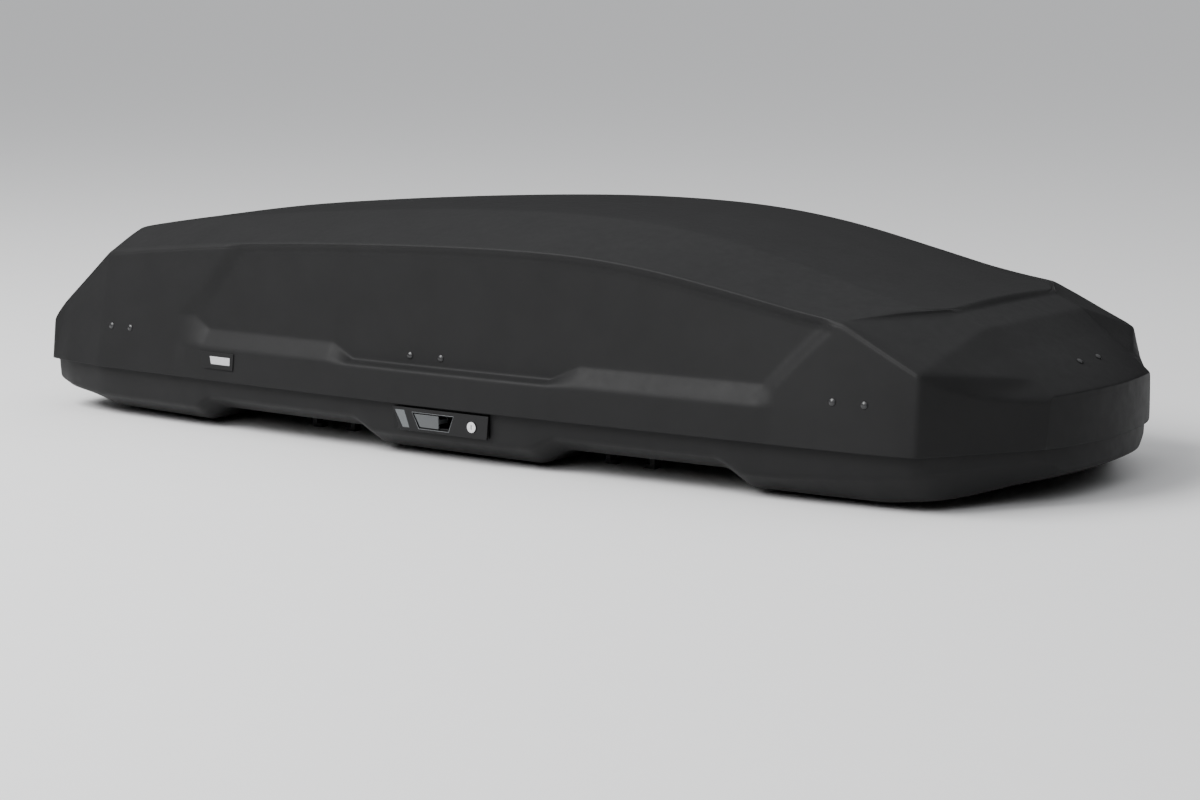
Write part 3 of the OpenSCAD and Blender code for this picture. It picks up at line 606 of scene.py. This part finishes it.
def ring_piece(name, outer, inner, low, high, body, material, width):
    """A flat ring between two outlines of (x, z) points, low and high from the centre plane."""
    count = len(outer)
    points = [(x, y, z) for loop, y in ((outer, low), (inner, low), (outer, high),
                                        (inner, high)) for x, z in loop]
    faces = []
    for k in range(count):
        n = (k + 1) % count
        faces += [(k, n, n + count, k + count),
                  (2 * count + k, 2 * count + n, 3 * count + n, 3 * count + k),
                  (k, n, n + 2 * count, k + 2 * count),
                  (count + k, count + n, n + 3 * count, k + 3 * count)]
    obj = new_object(name, points, faces)
    round_off(obj, width, 2)
    return finish_piece(obj, body, material)


def grown(outline, by):
    """An outline with its corners moved out from its middle, as far along as up."""
    cx = sum(p[0] for p in outline) / len(outline)
    cz = sum(p[1] for p in outline) / len(outline)
    return [(x + math.copysign(by, x - cx), z + math.copysign(by, z - cz))
            for x, z in outline]


def circle(middle, radius, count=64):
    turns = [2 * math.pi * k / count for k in range(count)]
    return [(middle[0] + radius * math.cos(a), middle[1] + radius * math.sin(a)) for a in turns]


window = [(x_at(s), (SEAM_Z + z) * MM) for s, z in SLIDER_WINDOW]
lock = (x_at(LOCK_PLACE[0]), (SEAM_Z + LOCK_PLACE[1]) * MM)
for name, side in (("near", -1), ("far", 1)):
    face = side * HANDLE_Y * MM
    back = face - side * DETAIL_DEPTH * MM
    ring_piece(name + "_window_rim", grown(window, 1.2 * MM), grown(window, 0.2 * MM),
               face + side * 0.7 * MM, back, "base", RIM, 0.3)
    ring_piece(name + "_lock_ring", circle(lock, (LOCK_R + 2.2) * MM),
               circle(lock, (LOCK_R + 0.35) * MM), face + side * 1.1 * MM, back, "base",
               TRIM, 0.5)


BADGE_SPLIT = 15 * MM      # height over the badge's foot that parts its lower corners
BADGE_SINK = 0.5 * MM      # how far the plate sits into the badge's face
BADGE_PROUD = 0.4 * MM     # how far it stands out of it


def blank_plate(node, left, right, low, high):
    """A plain light plate inside the badge's outline, in fractions of its length and height."""
    mesh = NODES[node].data
    foot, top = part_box(node)
    side = 1 if top[1] > 0 else -1
    normal = Vector((0, 0, 0))
    for polygon in mesh.polygons:
        if polygon.normal.y * side > 0.7:
            normal += polygon.normal * polygon.area
    normal.normalize()
    face = max(v.co.dot(normal) for v in mesh.vertices)
    corners = sorted((v.co.copy() for v in mesh.vertices if face - v.co.dot(normal) < 0.4 * MM),
                     key=lambda corner: corner.x)
    lower = [c for c in corners if c.z <= foot[2] + BADGE_SPLIT]
    upper = [c for c in corners if c.z > foot[2] + BADGE_SPLIT]

    def at(u, v):
        return mix(mix(lower[0], lower[-1], u), mix(upper[0], upper[-1], u), v)

    quad = [at(left, low), at(right, low), at(right, high), at(left, high)]
    points = [q + normal * d for d in (-BADGE_SINK, BADGE_PROUD) for q in quad]
    rim = [(k, (k + 1) % 4, (k + 1) % 4 + 4, k + 4) for k in range(4)]
    obj = new_object(node.replace("plate", "blank"), points, [(0, 1, 2, 3), (4, 5, 6, 7)] + rim)
    round_off(obj, 0.25, 2)
    return finish_piece(obj, "lid", BADGE)


for node in ("near_badge_plate", "far_badge_plate"):
    blank_plate(node, 0.3, 0.9, 0.28, 0.74)


# ---- Openings in the base: a pocket for each handle and slots for the clamps' jaws ----
BOX_FACES = ((0, 1, 3, 2), (4, 6, 7, 5), (0, 4, 5, 1), (2, 3, 7, 6), (0, 2, 6, 4),
             (1, 5, 7, 3))
HANDLE_MIDDLE, HANDLE_HALF, HANDLE_HALF_DEPTH = 1014, 101, 15
HANDLE_Z = (-45, -13)
CLAMP_MIDDLES = (620, 1300)
CLAMP_Y, CLAMP_HALF_Y = 250, 12
LEG_REACH, LEG_HALF = 47, 13
LEG_Z = (-80, -30)


def boxes(name, spans):
    """Boxes from spans of station, distance y and height over the seam, in one object."""
    points, faces = [], []
    for along, across, up in spans:
        k = len(points)
        points += [(x_at(s), y * MM, (SEAM_Z + z) * MM)
                   for s in along for y in across for z in up]
        faces += [[k + i for i in face] for face in BOX_FACES]
    return new_object(name, points, faces)


def around(middle, half):
    return middle - half, middle + half


spans = []
for side in (-1, 1):
    spans.append((around(HANDLE_MIDDLE, HANDLE_HALF),
                  around(side * (HANDLE_Y - 10), HANDLE_HALF_DEPTH), HANDLE_Z))
    spans += [(around(middle + leg * LEG_REACH, LEG_HALF), around(side * CLAMP_Y, CLAMP_HALF_Y),
               LEG_Z) for middle in CLAMP_MIDDLES for leg in (-1, 1)]
cutter = boxes("cutter", spans)
cut = base.modifiers.new("Openings", "BOOLEAN")
cut.object = cutter
cut.solver = "EXACT"
apply_modifiers(base)
bpy.data.objects.remove(cutter)

# ---- Camera, floor and light ----
CAMERA_PLACE = (3.1704, -4.3151, 0.8831)
CAMERA_DIP, CAMERA_TURN = 8.746, 36.165
camera_data = bpy.data.cameras.new("camera")
camera_data.sensor_width = 36
camera_data.lens = 87.67
camera = bpy.data.objects.new("camera", camera_data)
camera.location = CAMERA_PLACE
camera.rotation_euler = (math.radians(90 - CAMERA_DIP), 0, math.radians(CAMERA_TURN))
bpy.context.scene.collection.objects.link(camera)
bpy.context.scene.camera = camera

bpy.ops.mesh.primitive_plane_add(size=400)
floor = bpy.context.object
floor.name = "floor"
floor.data.materials.append(node_material("pale_floor", (0.88, 0.88, 0.88), 0.85, grain=40,
                                          bump=0.02, mottle=0.01, specular=0.2))


def studio_world(backdrop, zenith, horizon, low=0.3, high=0.7):
    """A plain backdrop for the camera, and a soft gradient of light for everything else.

    The light grows from horizon to zenith between the heights low and high, 1 being overhead.
    """
    world = bpy.data.worlds.new("studio")
    world.use_nodes = True
    tree = world.node_tree
    light = tree.nodes["Background"]
    light.inputs["Color"].default_value = (0.97, 0.98, 1.0, 1)
    plain = tree.nodes.new("ShaderNodeBackground")
    plain.inputs["Color"].default_value = (backdrop, backdrop, backdrop, 1)
    place = tree.nodes.new("ShaderNodeTexCoord")
    parts = tree.nodes.new("ShaderNodeSeparateXYZ")
    blend = tree.nodes.new("ShaderNodeMapRange")
    blend.interpolation_type = "SMOOTHSTEP"
    blend.inputs["From Min"].default_value = low
    blend.inputs["From Max"].default_value = high
    blend.inputs["To Min"].default_value = horizon
    blend.inputs["To Max"].default_value = zenith
    path = tree.nodes.new("ShaderNodeLightPath")
    choose = tree.nodes.new("ShaderNodeMixShader")
    tree.links.new(place.outputs["Generated"], parts.inputs[0])
    tree.links.new(parts.outputs["Z"], blend.inputs["Value"])
    tree.links.new(blend.outputs[0], light.inputs["Strength"])
    tree.links.new(path.outputs["Is Camera Ray"], choose.inputs[0])
    tree.links.new(light.outputs[0], choose.inputs[1])
    tree.links.new(plain.outputs[0], choose.inputs[2])
    tree.links.new(choose.outputs[0], tree.nodes["World Output"].inputs["Surface"])
    bpy.context.scene.world = world


def area_light(name, place, aim, size, power):
    """A rectangular lamp at a place, turned to face its aim."""
    data = bpy.data.lights.new(name, "AREA")
    data.shape = "RECTANGLE"
    data.size, data.size_y = size
    data.energy = power
    lamp = bpy.data.objects.new(name, data)
    lamp.location = place
    lamp.rotation_euler = (Vector(aim) - Vector(place)).to_track_quat("-Z", "Y").to_euler()
    bpy.context.scene.collection.objects.link(lamp)


BACKDROP, ZENITH, HORIZON = 1.0, 0.9, 0.02
studio_world(BACKDROP, ZENITH, HORIZON)
area_light("key", (-2.3, -3.7, 4.7), (0, 0, 0.2), (4.5, 3.5), 560)
area_light("side_fill", (0.6, -5.4, 2.6), (0.2, 0, 0.2), (4.0, 2.0), 60)
